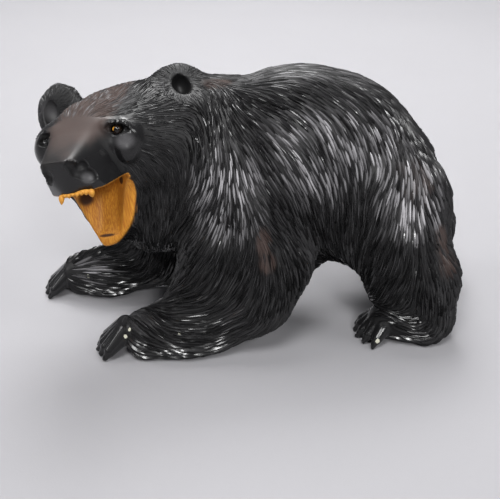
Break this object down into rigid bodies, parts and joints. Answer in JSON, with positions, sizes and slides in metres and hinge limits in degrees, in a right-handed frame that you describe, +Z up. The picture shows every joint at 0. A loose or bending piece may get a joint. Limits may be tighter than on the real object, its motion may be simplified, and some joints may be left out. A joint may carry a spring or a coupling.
{
  "type": "carved wooden bear",
  "caption": "Walking bear carved from one block of black-stained wood, head turned to its left, mouth wide open, glass eyes; stands on its paws.",
  "frame": {"origin": "on the ground under the middle of the box", "axes": "+Z up, the bear walks towards -Y, its left side is +X, and its head is turned towards +X"},
  "size_m": [0.1938, 0.398, 0.2351],
  "materials": {
    "stained_wood": "near-black stain under satin lacquer, bare orange-brown wood inside the mouth",
    "eye_glass": "gloss amber with a dark pupil"
  },
  "bodies": {
    "root": {"bear": "stained_wood", "eye_left": "eye_glass", "eye_right": "eye_glass"}
  },
  "joints": []
}
